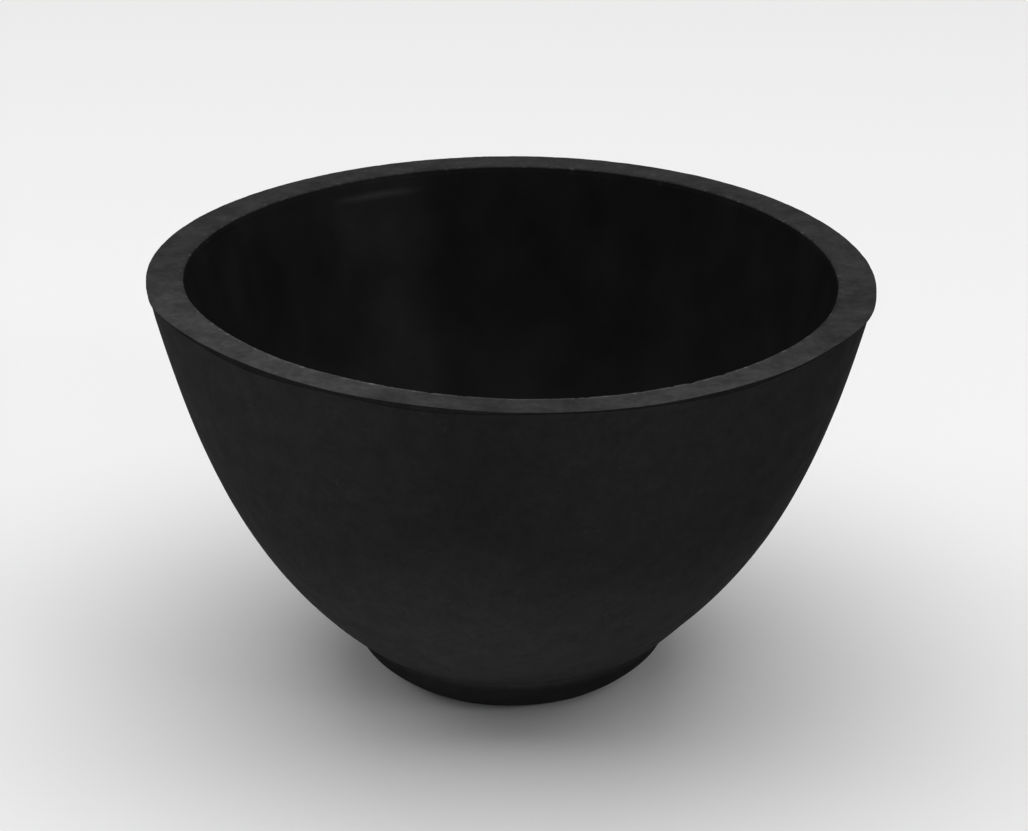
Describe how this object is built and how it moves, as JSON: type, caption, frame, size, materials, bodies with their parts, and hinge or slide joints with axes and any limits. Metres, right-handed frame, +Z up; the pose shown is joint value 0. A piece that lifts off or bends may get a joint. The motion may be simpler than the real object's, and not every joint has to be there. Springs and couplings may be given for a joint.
{
  "type": "hair color bowl",
  "caption": "Round flexible rubber bowl for mixing hair color, with a thick flared wall, a flat buffed rim and a short round foot.",
  "frame": {"origin": "centre of the bottom of the bounding box: the middle of the foot, on the surface the bowl stands on", "axes": "+Z up along the bowl's axis of symmetry, out of its mouth; X and Y lie in the surface it stands on, and the bowl is round, so any direction may be the front"},
  "size_m": [0.13, 0.13, 0.077],
  "materials": {
    "wall_rubber": "matte",
    "buffed_rubber": "matte",
    "foot_rubber": "matte"
  },
  "bodies": {
    "root": {"bowl_shell": "wall_rubber", "rim_ring": "buffed_rubber", "foot_ring": "foot_rubber"}
  },
  "joints": []
}
